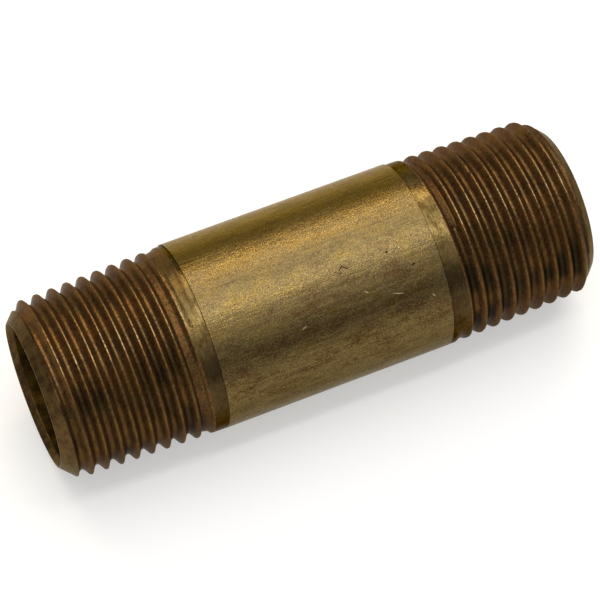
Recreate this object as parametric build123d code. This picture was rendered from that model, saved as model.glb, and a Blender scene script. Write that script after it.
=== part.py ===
from build123d import *
from math import atan, ceil, cos, degrees, radians, sin, tan
import os

# A 3/8 inch brass pipe nipple, 2 inches long: a short length of seamless pipe with a taper pipe
# thread on each end. It is one piece of metal.
#
# The drawn skin of the pipe is left on the barrel in the middle. At each end a die head has skimmed a
# shallow seat and cut a 60 degree right-hand thread. From the barrel outwards there is a small step,
# a plain skimmed band, one or two shallow flat-bottomed grooves left by the die's lead teeth, the full
# threads on a taper of 1 in 16, and a chamfer down to the flat end face.
#
# The pipe's axis is X, with the origin on it half way along. Lengths are in millimetres, angles in
# degrees. End A is at -X and end B at +X. Angles about the axis run from +Y towards +Z.

mm_per_inch = 25.4

# Pipe stock.
pipe_diameter = 0.675 * mm_per_inch
wall = 0.0905 * mm_per_inch
length = 2.0 * mm_per_inch

# Thread form.
pitch = mm_per_inch / 18
taper = 1 / 32  # growth of the radius along the thread: 1 in 16 on the diameter
thread_depth = 0.66
crest_flat = 0.18
flank_angle = 30.0  # between each flank and a plane across the axis

# Die head. Its distances are measured outwards from the step that it left on the pipe.
skim_depth = 0.06  # taken off the pipe's radius at the step
seat_length = 3.5  # from the step to where the thread's own taper begins
seat_taper = 0.01  # fall of the radius along the seat
lead_length = 3.35  # from the step to the first full-depth groove
lead_angle = 12.7  # slope of the lead teeth, which makes the last grooves shallow
band_width = 0.2  # skimmed metal left between the step and the innermost edge of the groove
axis_offset = 0.045  # how far the die's axis lies from the pipe's
axis_offset_angle = 209.0  # direction of that offset about the pipe's axis

# How far the die ran along the pipe at each end, from the end face to the step, and the angle about
# the axis at which its groove stops.
step_distance_a = 14.95
groove_stop_a = 137.0
step_distance_b = 14.47
groove_stop_b = 110.0

# Ends.
face_width = 0.46  # radial width from the bore out to the chamfer, at each end face
chamfer_angle = 46.0  # from the pipe's axis
mouth_width = 0.32  # radial width of the reamed cone at each mouth of the bore
mouth_depth = 0.6  # how far the reamed cone goes in

# Cutters run this far past the metal they cut. The groove's cutter stays well under crest_flat here,
# so that one turn of it never touches the next.
cutter_overrun = 1.0
groove_overrun = 0.1

pipe_radius = pipe_diameter / 2
bore_radius = pipe_radius - wall
face_radius = bore_radius + face_width
groove_half_width = (pitch - crest_flat) / 2
flank_slope = tan(radians(flank_angle))


def ring(*outline):
    """Solid of revolution about Z. The outline is (radius, height) points, in order."""
    return revolve(make_face(Polyline(*[(r, 0, z) for r, z in outline], close=True)), Axis.Z)


def stock():
    """Plain pipe along Z, sawn to length, with the mouths of its bore reamed."""
    half = length / 2
    return ring(
        (bore_radius + mouth_width, -half),
        (pipe_radius, -half),
        (pipe_radius, half),
        (bore_radius + mouth_width, half),
        (bore_radius, half - mouth_depth),
        (bore_radius, -half + mouth_depth),
    )


# The functions below work in a die's own frame. Z is the die's axis and points into the pipe. The
# step is at height 0 and the end face below it, at minus the step's distance.

def seat_radius(height):
    return pipe_radius - skim_depth + seat_taper * height


def crest_radius(height):
    """Radius of the cone through the crests of the full threads."""
    return seat_radius(-seat_length) + taper * (height + seat_length)


def root_radius(height):
    return crest_radius(height) - thread_depth


def turned_waste(step_distance):
    """Metal turned off outside the chamfer, the crest cone and the seat."""
    chamfer_slope = tan(radians(chamfer_angle))
    face = -step_distance
    chamfer_length = (crest_radius(face) - face_radius) / (chamfer_slope - taper)
    outside = pipe_radius + axis_offset + cutter_overrun
    return ring(
        (face_radius - cutter_overrun * chamfer_slope, face - cutter_overrun),
        (crest_radius(face + chamfer_length), face + chamfer_length),
        (crest_radius(-seat_length), -seat_length),
        (seat_radius(0), 0),
        (outside, 0),
        (outside, face - cutter_overrun),
    )


def under_lead_teeth():
    """Metal that the die's lead teeth pass over: a cone that rises from the roots past the pipe."""
    start_radius = root_radius(-lead_length)
    rise = (lead_length + cutter_overrun) * tan(radians(lead_angle))
    return ring(
        (0, -lead_length),
        (start_radius, -lead_length),
        (start_radius + rise, cutter_overrun),
        (0, cutter_overrun),
    )


def groove_turn(start):
    """One whole turn of the helical groove, with the middle of its section at height start.

    The section is the gap between two crests, carried a little way out past them.
    """
    cone_angle = atan(taper)

    def corner(depth, side):
        height = start + side * (groove_half_width - depth * flank_slope)
        radius = crest_radius(start) - depth
        slant_pitch = pitch / cos(cone_angle)
        return Edge.make_helix(slant_pitch, pitch, radius, (0, 0, height), (0, 0, 1), degrees(cone_angle))

    corners = [
        corner(-groove_overrun, -1),
        corner(thread_depth, -1),
        corner(thread_depth, 1),
        corner(-groove_overrun, 1),
    ]
    sides = [Face.make_surface_from_curves(corners[i - 1], corners[i]) for i in range(4)]
    ends = [Face(Wire.make_polygon([helix @ end for helix in corners])) for end in (0, 1)]
    return Solid(Shell(sides + ends))


def groove_cutter(step_distance, stop_angle):
    """The whole helical groove, from outside the end face in to where the die stopped."""
    last_height = -band_width - groove_half_width
    turn_count = ceil((step_distance + last_height) / pitch) + 1
    turns = [groove_turn(last_height - pitch * (i + 1)) for i in range(turn_count)]
    groove = turns[0].fuse(*turns[1:]) - under_lead_teeth()
    return Rot(0, 0, stop_angle) * groove


def die_frame(side, step_distance):
    """Where a die's own frame lies. The side is -1 for end A and +1 for end B."""
    direction = radians(axis_offset_angle)
    origin = (side * (length / 2 - step_distance), axis_offset * cos(direction), axis_offset * sin(direction))
    return Plane(origin=origin, x_dir=(0, 1, 0), z_dir=(-side, 0, 0)).location


def threading_waste(side, step_distance, groove_stop):
    """The two solids that the die head takes off one end, in place.

    Angles turn the other way in end B's frame, because its Z points along -X.
    """
    frame = die_frame(side, step_distance)
    return [frame * turned_waste(step_distance), frame * groove_cutter(step_distance, -side * groove_stop)]


def nipple_body():
    body = Plane.YZ * stock()
    waste = threading_waste(-1, step_distance_a, groove_stop_a)
    waste += threading_waste(1, step_distance_b, groove_stop_b)
    for cut in waste:
        body = body - cut
    return body.solid()


os.makedirs("parts", exist_ok=True)
export_step(nipple_body(), "parts/nipple_body.step")
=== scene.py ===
import math
import bpy
import numpy as np
from mathutils import Matrix, Vector


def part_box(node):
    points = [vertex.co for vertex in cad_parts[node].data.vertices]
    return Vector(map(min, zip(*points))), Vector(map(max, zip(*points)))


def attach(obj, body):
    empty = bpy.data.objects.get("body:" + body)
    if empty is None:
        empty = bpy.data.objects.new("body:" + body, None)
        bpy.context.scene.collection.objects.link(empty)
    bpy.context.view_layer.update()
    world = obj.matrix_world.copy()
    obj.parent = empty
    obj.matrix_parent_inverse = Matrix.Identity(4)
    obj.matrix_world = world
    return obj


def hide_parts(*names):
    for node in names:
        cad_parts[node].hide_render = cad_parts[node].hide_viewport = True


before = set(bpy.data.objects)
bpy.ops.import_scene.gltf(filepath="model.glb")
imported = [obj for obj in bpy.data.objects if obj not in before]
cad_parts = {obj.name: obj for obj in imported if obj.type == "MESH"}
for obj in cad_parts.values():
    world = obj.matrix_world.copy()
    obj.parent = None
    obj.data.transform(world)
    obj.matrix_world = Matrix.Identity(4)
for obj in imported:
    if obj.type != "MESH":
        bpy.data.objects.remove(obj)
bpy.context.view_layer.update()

# The nipple. Lengths are in mm and angles in degrees. End A is at -X, end B at +X.
nipple = {
    "wall": 2.2987,
    "pitch": 25.4 / 18,
    "threadTaper": 1 / 32,      # growth of the radius along the thread
    "threadDepth": 0.68,        # 0.02 more than the CAD's, with a rounded root
    "crestFlat": 0.18,
    "flankAngle": 30,
    "crestRounding": 0.06,      # how far the corners of the crests are worn round
    "rootRounding": 0.38,
    "skimDepth": 0.06,          # how far the skimmed seat lies below the barrel
    "seatLength": 3.5,
    "seatTaper": 0.01,
    "leadLength": 3.35,         # from the step to where a groove has its full depth
    "leadAngle": 12.7,
    "bandWidth": 0.2,
    "dieOffset": 0.045,         # how far the die's axis lies from the pipe's
    "dieOffsetAngle": 209,
    "faceWidth": 0.46,
    "chamferAngle": 46,
    "mouthWidth": 0.32,         # reamed cone at each mouth of the bore
    "mouthDepth": 0.6,
    "crestWobble": 0.012,       # slow rise and fall of the crests
    "crestNicks": 60,
    "wobbleSize": 1.6,
    "leadRounding": 0.05,
    "chamferRounding": 0.06,
    "crestLineWidth": 0.045,    # width of the worn line along each crest, which also carries the painted highlight
    "paintedRootHighlight": 0.38,            # strength of the painted highlight along each root
    "paintedRootHighlightWidth": 0.06,
    "stepDirt": 0.75,
    "stepDirtWidth": 0.05,
    "sharpAngle": 40,
    "columns": 272,             # steps round the pipe
    "barrelRows": 34,
    "boreRows": 18,
}
# The groove stops at grooveStop degrees round, and gets shallower over the last stopFade turns.
dieRuns = {
    "A": {"side": -1, "stepDistance": 14.95, "grooveStop": 137, "stopFade": 0.35, "leadJump": False},
    "B": {"side": 1, "stepDistance": 14.47, "grooveStop": 110, "stopFade": 0.7, "leadJump": True},
}

pipeLow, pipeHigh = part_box("nipple_body")
mm = 0.001
pipeLength = (pipeHigh[0] - pipeLow[0]) / mm
pipeRadius = (pipeHigh[2] - pipeLow[2]) / 2 / mm
boreRadius = pipeRadius - nipple["wall"]
faceRadius = boreRadius + nipple["faceWidth"]
grooveHalf = (nipple["pitch"] - nipple["crestFlat"]) / 2
flankSlope = math.tan(math.radians(nipple["flankAngle"]))
lastGroove = -nipple["bandWidth"] - grooveHalf
dieAngle = math.radians(nipple["dieOffsetAngle"])
dieCentre = np.array([math.cos(dieAngle), math.sin(dieAngle)]) * nipple["dieOffset"]
random = np.random.default_rng(18)


# A smooth random field over the pipe's skin, about -1 to 1, that closes on itself round the pipe.
def patches(x, angle, size, waves=24):
    total = 0
    for _ in range(waves):
        along = random.normal() / size
        around = round(random.normal() * pipeRadius / size)
        total = total + np.cos(along * x + around * angle + random.uniform(0, 2 * np.pi))
    return total / math.sqrt(waves)


def seatRadius(height):
    return pipeRadius - nipple["skimDepth"] + nipple["seatTaper"] * height


def crestRadius(height):
    start = -nipple["seatLength"]
    taperCone = seatRadius(start) + nipple["threadTaper"] * (height - start)
    return np.where(height < start, taperCone, seatRadius(height))


def rootRadius(height):
    start = -nipple["seatLength"]
    return seatRadius(start) + nipple["threadTaper"] * (height - start) - nipple["threadDepth"]


# The lower of two values, rounded where they meet.
def softMin(a, b, blend):
    near = np.clip(blend - np.abs(a - b), 0, None) / blend
    return np.minimum(a, b) - near * near * blend / 4


def softMax(a, b, blend):
    return -softMin(-a, -b, blend)


# Radius of a threaded end about the die's axis. Height is 0 at the step and falls towards the end face.
def threadRadius(height, centre, end):
    cone = crestRadius(height)
    taperCone = rootRadius(height) + nipple["threadDepth"]
    v = (grooveHalf - np.abs(height - centre)) / flankSlope   # depth of the V below the crest cone
    bottom = softMin(v, np.full_like(v, nipple["threadDepth"]), nipple["rootRounding"])
    bottom = bottom * np.clip((lastGroove - centre) / (end["stopFade"] * nipple["pitch"]), 0, 1)
    grooveSurface = taperCone - bottom
    leadStart = -nipple["leadLength"]
    rise = math.tan(math.radians(nipple["leadAngle"]))
    lead = rootRadius(leadStart) + rise * (height - leadStart)
    if end["leadJump"]:
        lead = np.where(centre < lastGroove - nipple["pitch"], 0.0, lead)   # only the last turn is shallow
    surface = softMax(grooveSurface, lead, nipple["leadRounding"])
    surface = softMin(cone, surface, nipple["crestRounding"])
    surface = np.where(centre > lastGroove + 1e-6, cone, surface)
    chamfer = faceRadius + math.tan(math.radians(nipple["chamferAngle"])) * (height + end["stepDistance"])
    return softMin(surface, chamfer, nipple["chamferRounding"])


# Where the rows of a thread lie across one pitch, from the middle of a groove, closest at the corners.
def rowOffsets():
    bottom = grooveHalf - nipple["threadDepth"] * flankSlope
    right = [bottom * 0.6, bottom, bottom + 0.09, grooveHalf * 0.8, grooveHalf - 0.03, grooveHalf + 0.03]
    left = [-x for x in reversed(right)]
    return np.array(left + [0] + right + [nipple["pitch"] / 2])


# Crests are never quite even: a slow wobble, and small nicks such as knocks leave.
def wornCrests(x, angle, radius, below, end):
    onCrest = np.exp(-np.square(below / 0.09))
    worn = radius + nipple["crestWobble"] * onCrest * patches(x, angle, nipple["wobbleSize"])
    length = end["stepDistance"]
    fresh = 0
    for _ in range(nipple["crestNicks"]):
        atX = end["side"] * (pipeLength / 2 - random.uniform(0.6, length - 1.5))
        atAngle = random.uniform(-np.pi, np.pi)
        wide = random.uniform(0.12, 0.4)
        deep = random.uniform(0.02, 0.09) * random.uniform(0.4, 1)
        around = (np.mod(angle - atAngle + np.pi, 2 * np.pi) - np.pi) * pipeRadius
        along = (x - atX) / 0.5
        worn = worn - deep * onCrest * np.exp(-np.square(along) - np.square(around / wide))
        fresh = fresh + deep * 25 * onCrest * np.exp(-np.square(along) - np.square(around / 0.13))
    return worn, fresh


class Skin:
    # Collects the points and faces of the whole nipple, with what each point and face is.
    def __init__(self):
        self.points = []
        self.rubbedAndHighlight = []
        self.grime = []
        self.skimmed = []
        self.faces = []
        self.finish = []

    def add(self, points, rubbedAndHighlight, grime, skimmed):
        start = len(self.points)
        self.points.extend(points)
        self.rubbedAndHighlight.extend(rubbedAndHighlight)
        self.grime.extend(grime)
        self.skimmed.extend(skimmed)
        return np.arange(start, start + len(points))

    def join(self, a, b, c, d, finish):
        each = np.broadcast_to(finish, len(a))
        for quad, made in zip(zip(a, b, c, d), each):
            corners = list(dict.fromkeys(int(i) for i in quad))
            if len(corners) > 2:
                self.faces.append(corners)
                self.finish.append(int(made))


barrelFinish, threadFinish, faceFinish, boreFinish = range(4)
columns = nipple["columns"]
turn = 2 * np.pi * np.arange(columns) / columns


def place(x, angle, radius, centre):
    return np.stack([x, centre[0] + radius * np.cos(angle), centre[1] + radius * np.sin(angle)], 1)


def threadedEnd(skin, end):
    pitch = nipple["pitch"]
    offsets = rowOffsets()
    perPitch = len(offsets)
    stop = math.radians(-end["side"] * end["grooveStop"]) % (2 * np.pi)
    turnsBack = math.ceil((end["stepDistance"] + lastGroove) / pitch) + 2
    first = lastGroove - pitch * stop / (2 * np.pi) - pitch * turnsBack
    grooves = turnsBack + 3
    centres = np.repeat(first + pitch * np.arange(grooves), perPitch)
    heights = centres + np.tile(offsets, grooves)
    rows = len(heights)
    face = -end["stepDistance"]
    centreGrid = centres[:, None] + pitch * turn[None, :] / (2 * np.pi)
    rawGrid = heights[:, None] + pitch * turn[None, :] / (2 * np.pi)
    grid = np.clip(rawGrid, face, 0)
    radius = threadRadius(grid, centreGrid, end)
    x = end["side"] * (pipeLength / 2 - end["stepDistance"] - grid)
    angle = -end["side"] * turn
    below = crestRadius(grid) - radius
    cutDepth = crestRadius(centreGrid) - threadRadius(np.clip(centreGrid, face, 0), centreGrid, end)
    onBand = centreGrid > lastGroove
    skimmed = np.where(onBand, 1.0, np.where(grid > -4, np.clip(1.6 - cutDepth / 0.16, 0, 1), 0))
    bevel = faceRadius + math.tan(math.radians(nipple["chamferAngle"])) * (grid - face)
    onBevel = bevel < radius + 0.03
    cut = (grid > face + 1.2) & ~onBand & (grid < -0.1)
    worn, fresh = wornCrests(x, angle[None, :], radius, below, end)
    radius = np.where(cut, worn, radius)
    # Dirt sits in the corner of the step.
    corner = nipple["stepDirt"] * np.exp(-np.abs(grid) / nipple["stepDirtWidth"])
    packed = np.clip((below - 0.25) / 0.3, 0, 1) * np.clip(0.5 + 0.7 * patches(x, angle[None, :], 2.2), 0, 1)
    grime = np.maximum(np.where(onBand, corner, 0), np.where(onBand, 0, packed))
    finish = np.where(onBevel, faceFinish, threadFinish)
    # The worn crest lines, the painted highlight along the roots and the bright nicks are stored together.
    fromCrest = pitch / 2 - np.abs(rawGrid - centreGrid)
    crestLine = np.exp(-np.square(fromCrest / nipple["crestLineWidth"]))
    rubbedAndHighlight = crestLine * np.clip(cutDepth / 0.4, 0, 1) * ~onBand * ~onBevel
    rootLine = np.exp(-np.square((rawGrid - centreGrid) / nipple["paintedRootHighlightWidth"]))    # painted highlight where the tip of the die's tooth cut
    paintedRootHighlightLine = nipple["paintedRootHighlight"] * rootLine
    # Bright fresh metal at the nicks, and the painted highlight along the roots.
    rubbedAndHighlight = rubbedAndHighlight + (fresh + paintedRootHighlightLine * np.clip(cutDepth / 0.4 - 0.5, 0, 1)) * cut
    index = np.zeros((rows, columns), int)
    for j in range(columns):
        inside = np.nonzero((rawGrid[:, j] > face) & (rawGrid[:, j] < 0))[0]
        used = np.concatenate([[inside[0] - 1], inside, [inside[-1] + 1]])
        n = len(used)
        spots = place(x[used, j], np.full(n, angle[j]), radius[used, j], dieCentre)
        made = skin.add(spots, rubbedAndHighlight[used, j], grime[used, j], skimmed[used, j])
        index[used, j] = made
        index[: used[0], j] = made[0]
        index[used[-1]:, j] = made[-1]
    for j in range(columns):
        here = index[:, j]
        if j + 1 < columns:
            there = index[:, j + 1]
        else:
            there = index[np.minimum(np.arange(rows) + perPitch, rows - 1), 0]
        skin.join(here[:-1], there[:-1], there[1:], here[1:], finish[:-1, j])
    around = np.arange(columns) if end["side"] < 0 else (-np.arange(columns)) % columns
    return index[0][around], index[-1][around]


def circle(skin, x, radius, grime=0.0):
    ring = place(np.full(columns, x), turn, np.broadcast_to(radius, columns), (0, 0))
    return skin.add(ring, np.zeros(columns), np.full(columns, grime), np.ones(columns))


def bridge(skin, loops, finish):
    for a, b in zip(loops[:-1], loops[1:]):
        skin.join(a, np.roll(a, -1), np.roll(b, -1), b, finish)


def buildNipple():
    skin = Skin()
    faceA, stepA = threadedEnd(skin, dieRuns["A"])
    faceB, stepB = threadedEnd(skin, dieRuns["B"])
    half = pipeLength / 2
    left, right = -half + dieRuns["A"]["stepDistance"], half - dieRuns["B"]["stepDistance"]
    edge = 0.02
    barrel = [circle(skin, left, pipeRadius - edge, 0.7)]
    middle = np.linspace(left + 0.5, right - 0.5, nipple["barrelRows"])
    along = np.concatenate([[left + edge, left + 0.12], middle, [right - 0.12, right - edge]])
    for x in along:
        barrel.append(circle(skin, x, pipeRadius))
    barrel += [circle(skin, right, pipeRadius - edge, 0.7)]
    bridge(skin, [stepA, barrel[0]], threadFinish)
    bridge(skin, barrel, barrelFinish)
    bridge(skin, [barrel[-1], stepB], threadFinish)
    depth = nipple["mouthDepth"]
    mouthA, mouthB = [], []
    for inward in (0, 0.1, 0.5, 0.95):
        radius = boreRadius + nipple["mouthWidth"] * (1 - inward)
        mouthA.append(circle(skin, -half + depth * inward, radius))
        mouthB.append(circle(skin, half - depth * inward, radius))
    straight = np.linspace(-half + depth + 0.03, half - depth - 0.03, nipple["boreRows"])
    bore = [circle(skin, x, boreRadius) for x in straight]
    bridge(skin, [mouthA[0], faceA], faceFinish)
    bridge(skin, [bore[0]] + mouthA[::-1], faceFinish)
    bridge(skin, bore[::-1], boreFinish)
    bridge(skin, mouthB + [bore[-1]], faceFinish)
    bridge(skin, [faceB, mouthB[0]], faceFinish)
    mesh = bpy.data.meshes.new("nippleSkin")
    mesh.from_pydata([Vector(p) * mm for p in skin.points], [], skin.faces)
    mesh.polygons.foreach_set("material_index", skin.finish)
    for name, values in (("rubbedAndHighlight", skin.rubbedAndHighlight), ("grime", skin.grime), ("skimmed", skin.skimmed)):
        layer = mesh.attributes.new(name, "FLOAT", "POINT")
        layer.data.foreach_set("value", np.array(values, np.float32))
    mesh.polygons.foreach_set("use_smooth", [True] * len(skin.faces))
    mesh.set_sharp_from_angle(angle=math.radians(nipple["sharpAngle"]))
    mesh.validate()
    piece = bpy.data.objects.new("nipple", mesh)
    bpy.context.scene.collection.objects.link(piece)
    return piece


nippleMesh = buildNipple()
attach(nippleMesh, "root")
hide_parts("nipple_body")
print("nipple made:", len(nippleMesh.data.vertices), "points", len(nippleMesh.data.polygons), "faces")


def linear(hexColour):
    parts = [int(hexColour[i:i + 2], 16) / 255 for i in (1, 3, 5)]
    return [c / 12.92 if c <= 0.04045 else ((c + 0.055) / 1.055) ** 2.4 for c in parts] + [1]


# Adds a node. A setting that is another node's output is linked; any other is a socket's value or a property.
def addNode(tree, kind, settings):
    made = tree.nodes.new(kind)
    for name, value in settings.items():
        if isinstance(value, bpy.types.NodeSocket):
            tree.links.new(value, made.inputs[name])
        elif isinstance(name, int) or name in made.inputs:
            made.inputs[name].default_value = value
        else:
            setattr(made, name, value)
    return made


# In a finish below, grains are noise with grains of that size in mm along x, y and z. A coat covers what
# is under it by the product of its terms, each (field, value where it starts, value where it is full,
# least, most). The fields are the grains, across and up (y and z in mm), and what the mesh stores.
# Relief is a depth in mm. How the tarnish lies round the pipe, by across and up, is a guess, except for
# the coats marked as painted shade or a painted highlight.

# Cold drawn brass left to tarnish: dull olive gold with fine speckle, faint lines along the pipe from
# the drawing die, and browner clouds towards -Y.
barrelBrass = {
    "name": "drawnBrassTarnished",
    "colour": "#7F6110",
    "rough": 0.3,
    "metal": 1.0,
    "specularLevel": 0.5,
    "specularTint": "#E3DAC8",      # the film stays dull at the edges
    "grains": {
        # Crystals, drawn coarser than they are so that they show.
        "speckle": {"size": (0.14, 0.14, 0.14), "detail": 3, "rough": 0.7, "shift": 0.0},
        "mottle": {"size": (0.72, 0.45, 0.45), "detail": 4, "rough": 0.65, "shift": 0.044},
        "lines": {"size": (4.8, 0.22, 0.22), "detail": 4, "rough": 0.6, "shift": 0.031},
        "clouds": {"size": (3.2, 1.8, 1.8), "detail": 8, "rough": 0.75, "shift": 0.077},
        "stains": {"size": (3.0, 1.0, 1.0), "detail": 8, "rough": 0.75, "shift": 0.124},
    },
    "stored": ["grime"],
    "coats": [
        {"colour": "#6E5514", "where": [("clouds", 0.35, 0.65, 0, 1)]},
        {"colour": "#66583D", "where": [("across", 4.2, 0.5, 0, 1), ("clouds", 0.3, 0.6, 0.6, 1)]},
        {"colour": "#5C4C2C", "where": [("across", 2, 6, 0, 0.85), ("up", 5, 2, 0, 1)]},
        # Darker towards -Y: painted shade.
        {"colour": "#4A3A20", "where": [("across", -4, -8.2, 0, 0.5)]},
        {"colour": "#3B2614", "where": [("stains", 0.44, 0.6, 0, 1), ("across", -3.5, -8, 0.15, 0.8)]},
        {"colour": "#4A2A17", "where": [("clouds", 0.5, 0.64, 0, 0.55), ("across", 0.5, -4, 0, 1)]},
        {"colour": "#7E6B40", "where": [("mottle", 0.5, 0.7, 0, 0.35)]},
        {"colour": "#4A371C", "where": [("mottle", 0.5, 0.3, 0, 0.35)]},
        {"colour": "#83703F", "where": [("lines", 0.55, 0.72, 0, 0.4)]},
        {"colour": "#3E2F1A", "where": [("lines", 0.45, 0.28, 0, 0.5)]},
        {"colour": "#8E7A48", "where": [("speckle", 0.45, 0.65, 0, 0.4)]},
        {"colour": "#43341C", "where": [("speckle", 0.5, 0.34, 0, 0.3)]},
        {"rough": 0.2, "where": [("speckle", 0.3, 0.7, 0, 1)]},
        {"rough": 0.36, "where": [("clouds", 0.35, 0.65, 0, 0.45)]},
        {"colour": "#CFC49A", "where": [("scratch", 0, 1, 0, 0.8), ("speckle", 0.35, 0.6, 0, 1)]},
        {"colour": "#1E140B", "rough": 0.6, "where": [("pit", 0, 1, 0, 0.92)]},
        {"colour": "#1E150C", "where": [("grime", 0, 1, 0, 1)]},
    ],
    "relief": {"speckle": 0.022, "mottle": 0.025, "lines": 0.015, "scratch": -0.02, "pit": -0.05},
    # x in mm, degrees round, length and width in mm, slant in degrees. A pit is dark, a scratch bright.
    "marks": [
        {"x": -5.2, "round": 74, "length": 0.25, "width": 0.2, "slant": 0, "kind": "pit"},
        {"x": 6.6, "round": 112, "length": 0.22, "width": 0.16, "slant": 20, "kind": "pit"},
        {"x": 8.5, "round": 124, "length": 0.3, "width": 0.2, "slant": 0, "kind": "pit"},
        {"x": 2.3, "round": 111.5, "length": 0.6, "width": 0.07, "slant": -35, "kind": "pit"},
        {"x": 2.7, "round": 112.5, "length": 0.8, "width": 0.07, "slant": 35, "kind": "pit"},
        {"x": 6.4, "round": 137, "length": 1.2, "width": 0.09, "slant": 20, "kind": "scratch"},
        {"x": 3.7, "round": 129.5, "length": 0.5, "width": 0.09, "slant": 30, "kind": "scratch"},
        {"x": 9.5, "round": 146, "length": 0.45, "width": 0.18, "slant": 50, "kind": "scratch"},
        {"x": -2.4, "round": 137, "length": 0.6, "width": 0.08, "slant": -20, "kind": "scratch"},
        {"x": 7.8, "round": 112, "length": 0.3, "width": 0.1, "slant": 70, "kind": "scratch"},
    ],
}

# Brass cut by a threading die and never cleaned: red-brown flanks with fine marks of the die's teeth
# round the pipe, black-green dirt in the grooves, and a smooth skimmed band. The crests are worn bright,
# with a painted highlight on top at full strength only in a stripe near y = -2.3 mm, and the bright line
# along each root is a painted highlight. Flanks and band darker towards -Y are painted shade.
threadBrass = {
    "name": "dieCutBrassThread",
    "colour": "#6A4B24",
    "rough": 0.3,
    "metal": 0.72,                  # dirt and oxide hide the metal, except on the skimmed band, the worn crests and the painted highlight
    "specularLevel": 0.1,
    "specularTint": "#AFA79A",      # the oxide keeps the flanks dull at a low angle
    "grains": {
        # 0.09 mm is a guessed width for the mark of a die's tooth.
        "toolMarks": {"size": (0.09, 1.08, 1.08), "detail": 3, "rough": 0.6, "shift": 0.0},
        "blotches": {"size": (1.5, 1.5, 1.5), "detail": 6, "rough": 0.7, "shift": 0.052},
        "speckle": {"size": (0.22, 0.22, 0.22), "detail": 4, "rough": 0.7, "shift": 0.091},
        "verdigris": {"size": (0.8, 0.8, 0.8), "detail": 6, "rough": 0.75, "shift": 0.17},
    },
    "stored": ["rubbedAndHighlight", "grime", "skimmed"],
    "coats": [
        {"colour": "#513822", "where": [("blotches", 0.35, 0.65, 0, 1)]},
        {"colour": "#524A27", "where": [("verdigris", 0.5, 0.66, 0, 0.75)]},
        {"colour": "#67412A", "where": [("verdigris", 0.48, 0.34, 0, 0.7)]},
        # Flanks darker towards -Y: painted shade.
        {"colour": "#2E2519", "where": [("across", -1, -7.5, 0, 0.2)]},
        {"colour": "#80633D", "where": [("speckle", 0.5, 0.7, 0, 0.55)]},
        {"colour": "#20150A", "where": [("speckle", 0.5, 0.32, 0, 0.6)]},
        {"rough": 0.42, "where": [("speckle", 0.3, 0.7, 0, 1)]},
        {"colour": "#7A5A2E", "where": [("toolMarks", 0.55, 0.75, 0, 0.35)]},
        {"colour": "#10140E", "where": [("grime", 0, 1, 0, 1), ("across", -1, -7.5, 0.3, 0.85)]},
        {"colour": "#6C5B36", "rough": 0.24, "metal": 1.0, "where": [("skimmed", 0, 1, 0, 1)]},
        {"colour": "#4B3A1D", "where": [("skimmed", 0, 1, 0, 1), ("blotches", 0.4, 0.62, 0, 1)]},
        {"colour": "#857048", "where": [("skimmed", 0, 1, 0, 1), ("toolMarks", 0.52, 0.7, 0, 0.5)]},
        {"colour": "#33240F", "where": [("skimmed", 0, 1, 0, 1), ("toolMarks", 0.46, 0.3, 0, 0.6)]},
        # The skimmed band darker towards -Y: painted shade.
        {"colour": "#33261A", "where": [("skimmed", 0, 1, 0, 1), ("across", -3, -7.5, 0, 0.7)]},
        {"colour": "#1B130B", "where": [("skimmed", 0, 1, 0, 1), ("grime", 0, 1, 0, 1)]},
        # Worn crests and fresh nicks, drawn at full strength only in a stripe near y = -2.3 mm: a painted
        # highlight on top of real wear.
        {"colour": "#A8966F", "rough": 0.22, "metal": 1.0,
         "where": [("rubbedAndHighlight", 0, 1, 0, 1), ("speckle", 0.38, 0.6, 0.05, 0.7), ("across", 1.0, -2.4, 0.2, 1),
                   ("across", -2.2, -4.8, 1, 0.08)]},
    ],
    "relief": {"speckle": 0.02, "toolMarks": 0.008},
}

# Brass cut off and chamfered on the threading machine: turned rings on the face, dulled to brown.
faceBrass = {
    "name": "turnedBrassFace",
    "colour": "#5A4629",
    "rough": 0.32,
    "metal": 1.0,
    "specularLevel": 0.5,
    "specularTint": "#E3DAC8",
    "grains": {
        "blotches": {"size": (0.9, 0.9, 0.9), "detail": 5, "rough": 0.65, "shift": 0.252},
        "speckle": {"size": (0.2, 0.2, 0.2), "detail": 4, "rough": 0.7, "shift": 0.291},
    },
    "rings": {"pitch": 0.16, "distortion": 1.5},     # feed of the facing tool in mm
    "stored": [],
    "coats": [
        {"colour": "#41301D", "where": [("blotches", 0.4, 0.62, 0, 1)]},
        {"colour": "#74603A", "where": [("speckle", 0.55, 0.8, 0, 0.6)]},
        {"colour": "#3A2C17", "where": [("rings", 0.6, 1, 0, 0.3)]},
        {"rough": 0.5, "where": [("speckle", 0.3, 0.7, 0, 1)]},
    ],
    "relief": {"rings": 0.006, "speckle": 0.015},
}

# The inside of the drawn tube: a rough oxide, darker than outside, streaked along the bore.
boreBrass = {
    "name": "drawnBrassBore",
    "colour": "#44330F",
    "rough": 0.42,
    "metal": 0.92,
    "specularLevel": 0.1,
    "specularTint": "#A98A58",      # the oxide stays brown at a low angle
    "grains": {
        "lines": {"size": (6, 0.5, 0.5), "detail": 4, "rough": 0.6, "shift": 0.33},
        "blotches": {"size": (2.5, 1.6, 1.6), "detail": 7, "rough": 0.7, "shift": 0.352},
        "speckle": {"size": (0.2, 0.2, 0.2), "detail": 4, "rough": 0.7, "shift": 0.371},
    },
    "stored": [],
    "coats": [
        {"colour": "#2A1D0A", "rough": 0.6, "where": [("blotches", 0.38, 0.62, 0, 1)]},
        {"colour": "#5C4620", "where": [("lines", 0.55, 0.75, 0, 0.5)]},
        {"colour": "#6B5428", "where": [("speckle", 0.55, 0.75, 0, 0.4)]},
    ],
    "relief": {"lines": 0.02, "speckle": 0.03},
}


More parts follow.
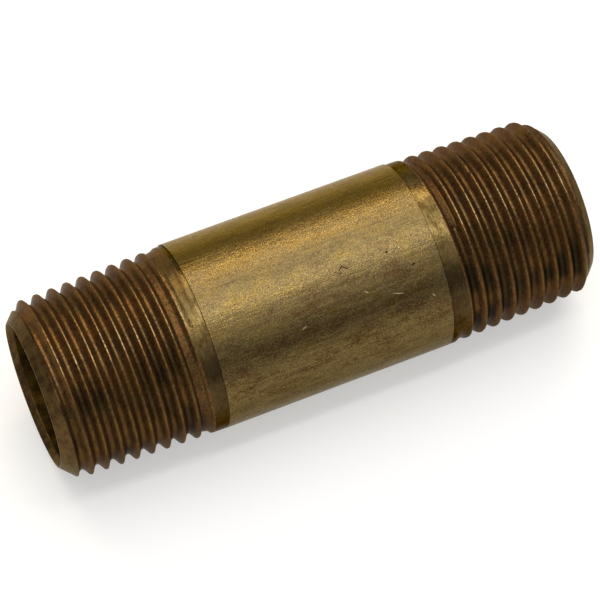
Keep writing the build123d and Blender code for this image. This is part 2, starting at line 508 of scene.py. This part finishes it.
# Where the marks of one kind lie, 0 to 1.
def marked(tree, inMm, marks):
    total = None
    for mark in marks:
        angle = math.radians(mark["round"])
        slant = math.radians(mark["slant"])
        outward = Vector((0, math.cos(angle), math.sin(angle)))
        along = Vector((math.cos(slant), 0, 0)) + Vector((1, 0, 0)).cross(outward) * math.sin(slant)
        local = addNode(tree, "ShaderNodeMapping", {
            "vector_type": "TEXTURE",
            "Vector": inMm,
            "Location": outward * pipeRadius + Vector((mark["x"], 0, 0)),
            "Rotation": Matrix((along, outward.cross(along), outward)).transposed().to_euler(),
            "Scale": Vector((mark["length"], mark["width"], 2)) / 2,
        })
        away = addNode(tree, "ShaderNodeVectorMath", {"operation": "LENGTH", 0: local.outputs[0]})
        near = addNode(tree, "ShaderNodeMapRange", {
            "interpolation_type": "SMOOTHSTEP",
            "Value": away.outputs["Value"],
            "From Min": 1.2,
            "From Max": 0.5,
        }).outputs[0]
        if total is None:
            total = near
        else:
            total = addNode(tree, "ShaderNodeMath", {"operation": "MAXIMUM", 0: total, 1: near}).outputs[0]
    return total


# Everything that a finish's coats and relief can follow over the surface.
def surfaceFields(tree, finish):
    coords = addNode(tree, "ShaderNodeTexCoord", {}).outputs["Object"]
    toMm = {"operation": "SCALE", 0: coords, "Scale": 1 / mm}
    inMm = addNode(tree, "ShaderNodeVectorMath", toMm).outputs[0]
    split = addNode(tree, "ShaderNodeSeparateXYZ", {"Vector": inMm})
    fields = {"across": split.outputs["Y"], "up": split.outputs["Z"]}
    for name, grain in finish["grains"].items():
        spread = addNode(tree, "ShaderNodeMapping", {
            "Vector": inMm,
            "Scale": [1 / size for size in grain["size"]],
            "Location": [grain["shift"] * k for k in (1, 2, 3)],
        })
        fields[name] = addNode(tree, "ShaderNodeTexNoise", {
            "Vector": spread.outputs[0],
            "Scale": 1.0,
            "Detail": grain["detail"],
            "Roughness": grain["rough"],
        }).outputs["Fac"]
    if "rings" in finish:
        fields["rings"] = addNode(tree, "ShaderNodeTexWave", {
            "wave_type": "RINGS",
            "rings_direction": "X",
            "Vector": inMm,
            "Scale": 2 * math.pi / 20 / finish["rings"]["pitch"],    # the node has a ring each 2 pi / 20
            "Distortion": finish["rings"]["distortion"],
            "Detail": 3.0,
        }).outputs["Fac"]
    for name in finish["stored"]:
        fields[name] = addNode(tree, "ShaderNodeAttribute", {"attribute_name": name}).outputs["Fac"]
    for kind in sorted({mark["kind"] for mark in finish.get("marks", [])}):
        fields[kind] = marked(tree, inMm, [m for m in finish["marks"] if m["kind"] == kind])
    return fields


# How strongly a coat lies: the product of its terms.
def coverage(tree, fields, coat):
    total = None
    for field, start, full, least, most in coat["where"]:
        part = addNode(tree, "ShaderNodeMapRange", {
            "interpolation_type": "SMOOTHSTEP",
            "Value": fields[field],
            "From Min": start,
            "From Max": full,
            "To Min": least,
            "To Max": most,
        }).outputs[0]
        if total is None:
            total = part
        else:
            total = addNode(tree, "ShaderNodeMath", {"operation": "MULTIPLY", 0: total, 1: part}).outputs[0]
    return total


def makeBrass(finish):
    material = bpy.data.materials.new(finish["name"])
    material.use_nodes = True
    tree = material.node_tree
    tree.nodes.clear()
    fields = surfaceFields(tree, finish)
    colour, rough, metal = linear(finish["colour"]), finish["rough"], finish["metal"]
    for coat in finish["coats"]:
        cover = coverage(tree, fields, coat)
        if "colour" in coat:
            mixed = {"data_type": "RGBA", 0: cover, 6: colour, 7: linear(coat["colour"])}
            colour = addNode(tree, "ShaderNodeMix", mixed).outputs[2]
        if "rough" in coat:
            rough = addNode(tree, "ShaderNodeMix", {0: cover, 2: rough, 3: coat["rough"]}).outputs[0]
        if "metal" in coat:
            metal = addNode(tree, "ShaderNodeMix", {0: cover, 2: metal, 3: coat["metal"]}).outputs[0]
    shading = {"Base Color": colour, "Roughness": rough, "Metallic": metal}
    shading["Specular IOR Level"] = finish["specularLevel"]
    shading["Specular Tint"] = linear(finish["specularTint"])
    for field, depth in finish["relief"].items():
        raised = {"Height": fields[field], "Strength": 1.0, "Distance": abs(depth) * mm, "invert": depth < 0}
        if "Normal" in shading:
            raised["Normal"] = shading["Normal"]
        shading["Normal"] = addNode(tree, "ShaderNodeBump", raised).outputs[0]
    shader = addNode(tree, "ShaderNodeBsdfPrincipled", shading)
    addNode(tree, "ShaderNodeOutputMaterial", {"Surface": shader.outputs["BSDF"]})
    return material


for finish in (barrelBrass, threadBrass, faceBrass, boreBrass):
    nippleMesh.data.materials.append(makeBrass(finish))
    print("finish", finish["name"])


# Frosted acrylic of a light table, lit weakly from below, so that shadows stay faint.
frostedAcrylic = bpy.data.materials.new("frostedAcrylicFloor")
frostedAcrylic.use_nodes = True
frostedAcrylic.node_tree.nodes.clear()
acrylicShader = addNode(frostedAcrylic.node_tree, "ShaderNodeBsdfPrincipled", {
    "Base Color": linear("#CFCFCE"),
    "Roughness": 0.9,
    "Emission Color": (1, 1, 1, 1),
    "Emission Strength": 0.38,
})
addNode(frostedAcrylic.node_tree, "ShaderNodeOutputMaterial", {"Surface": acrylicShader.outputs["BSDF"]})

floorMesh = bpy.data.meshes.new("floor")
reach = 3.0     # metres from the middle to each edge
height = pipeLow[2]
corners = [(x, y, height) for x, y in ((-reach, -reach), (reach, -reach), (reach, reach), (-reach, reach))]
floorMesh.from_pydata(corners, [], [(0, 1, 2, 3)])
floor = bpy.data.objects.new("floor", floorMesh)
bpy.context.scene.collection.objects.link(floor)
floor.data.materials.append(frostedAcrylic)

world = bpy.data.worlds.new("studio")
bpy.context.scene.world = world
world.use_nodes = True
world.node_tree.nodes["Background"].inputs["Color"].default_value = (1, 1, 1, 1)
world.node_tree.nodes["Background"].inputs["Strength"].default_value = 0.4


def softBox(name, light):
    lamp = bpy.data.objects.new(name, bpy.data.lights.new(name, "AREA"))
    lamp.data.shape = "RECTANGLE"
    lamp.data.size, lamp.data.size_y = light["size"]
    lamp.data.energy = light["watts"]
    lamp.data.color = linear(light["colour"])[:3]
    direction = Vector(light["towards"]).normalized()
    across = Vector((1, 0, 0))
    along = direction.cross(across).normalized()
    across = along.cross(direction)
    lamp.location = direction * light["distance"]
    lamp.rotation_euler = Matrix((across, along, direction)).transposed().to_euler()
    bpy.context.scene.collection.objects.link(lamp)


# A warm soft box high behind the pipe, a wide one over it with a narrow bright one in it, and a weak
# one on the camera's side.
softBoxes = {
    "backSoftBox": {
        "towards": (0.15, 0.66, 0.75), "distance": 0.8,
        "size": (0.9, 0.1), "watts": 2.6, "colour": "#FFEBC4",
    },
    "topSoftBox": {
        "towards": (0.1, 0.16, 1.0), "distance": 0.8,
        "size": (0.8, 0.76), "watts": 3.6, "colour": "#FFFDFA",
    },
    "keySoftBox": {
        "towards": (0.05, -0.17, 0.98), "distance": 0.7,
        "size": (0.6, 0.05), "watts": 0.8, "colour": "#FFFFFF",
    },
    "frontSoftBox": {
        "towards": (-0.1, -0.6, 0.8), "distance": 0.8,
        "size": (0.8, 0.5), "watts": 1.25, "colour": "#FFFDFA",
    },
}
for name, light in softBoxes.items():
    softBox(name, light)
print("stage and lights made")

view = {
    "elevation": 58.80,
    "azimuth": -23.27,
    "distance": 0.2799,
    "right": -0.000136,
    "up": -0.000321,
    "lens": 189.65,
}
azimuth, elevation = math.radians(view["azimuth"]), math.radians(view["elevation"])
level = math.cos(elevation)
back = Vector((math.sin(azimuth) * level, -math.cos(azimuth) * level, math.sin(elevation)))
camera = bpy.data.objects.new("camera", bpy.data.cameras.new("camera"))
turnCamera = (-back).to_track_quat("-Z", "Y")
camera.rotation_mode = "QUATERNION"
camera.rotation_quaternion = turnCamera
camera.location = back * view["distance"] + turnCamera @ Vector((view["right"], view["up"], 0))
camera.data.lens = view["lens"]
camera.data.sensor_width = 36
camera.data.clip_start = 0.01
bpy.context.scene.collection.objects.link(camera)
bpy.context.scene.camera = camera
bpy.context.scene.view_settings.view_transform = "Standard"
